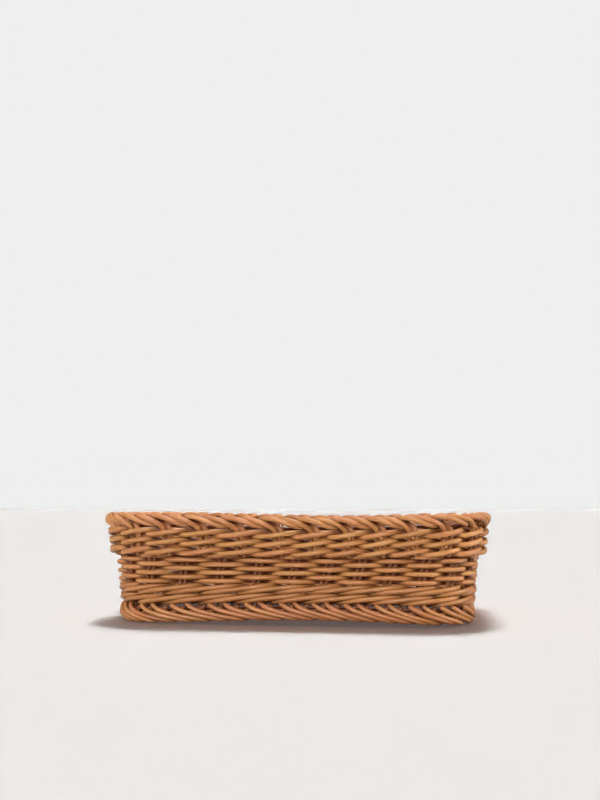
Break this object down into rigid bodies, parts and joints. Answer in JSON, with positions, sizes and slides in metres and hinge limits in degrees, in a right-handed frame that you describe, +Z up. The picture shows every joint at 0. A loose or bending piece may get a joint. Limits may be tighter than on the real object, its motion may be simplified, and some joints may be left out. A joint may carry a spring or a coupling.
{
  "type": "bread basket",
  "caption": "Shallow rectangular woven basket with rounded corners, flared sides, a rolled rim border and a raised base on a woven foot border.",
  "frame": {"origin": "middle of the footprint, on the surface the basket stands on", "axes": "+X along the long side to the right, +Y to the back, +Z up; the front long side faces -Y"},
  "size_m": [0.3104, 0.2204, 0.085],
  "materials": {
    "weavers": "satin, honey-coloured round strand",
    "stakes": "satin, tan round strand",
    "border": "satin, honey-coloured round strand",
    "base": "satin, tan round strand"
  },
  "bodies": {
    "root": {"base_mat": "base", "waling_row_1_strand_a": "weavers", "waling_row_1_strand_b": "weavers", "waling_row_1_strand_c": "weavers", "waling_row_2_strand_a": "weavers", "waling_row_2_strand_b": "weavers", "waling_row_2_strand_c": "weavers", "randing_row_1": "weavers", "randing_row_2": "weavers", "randing_row_3": "weavers", "randing_row_4": "weavers", "randing_row_5": "weavers", "randing_row_6": "weavers", "randing_row_7": "weavers", "pairing_row_1_strand_a": "weavers", "pairing_row_1_strand_b": "weavers", "pairing_row_2_strand_a": "weavers", "pairing_row_2_strand_b": "weavers", "pairing_row_3_strand_a": "weavers", "pairing_row_3_strand_b": "weavers", "stakes_and_foot_front_mid": "stakes", "stakes_and_foot_front_right": "stakes", "stakes_and_foot_corner_front_right": "stakes", "stakes_and_foot_right_end": "stakes", "stakes_and_foot_corner_back_right": "stakes", "stakes_and_foot_back_right": "stakes", "stakes_and_foot_back_mid": "stakes", "stakes_and_foot_back_left": "stakes", "stakes_and_foot_corner_back_left": "stakes", "stakes_and_foot_left_end": "stakes", "stakes_and_foot_corner_front_left": "stakes", "stakes_and_foot_front_left": "stakes", "rim_border_front_mid": "border", "rim_border_front_right": "border", "rim_border_corner_front_right": "border", "rim_border_right_end": "border", "rim_border_corner_back_right": "border", "rim_border_back_right": "border", "rim_border_back_mid": "border", "rim_border_back_left": "border", "rim_border_corner_back_left": "border", "rim_border_left_end": "border", "rim_border_corner_front_left": "border", "rim_border_front_left": "border"}
  },
  "joints": []
}
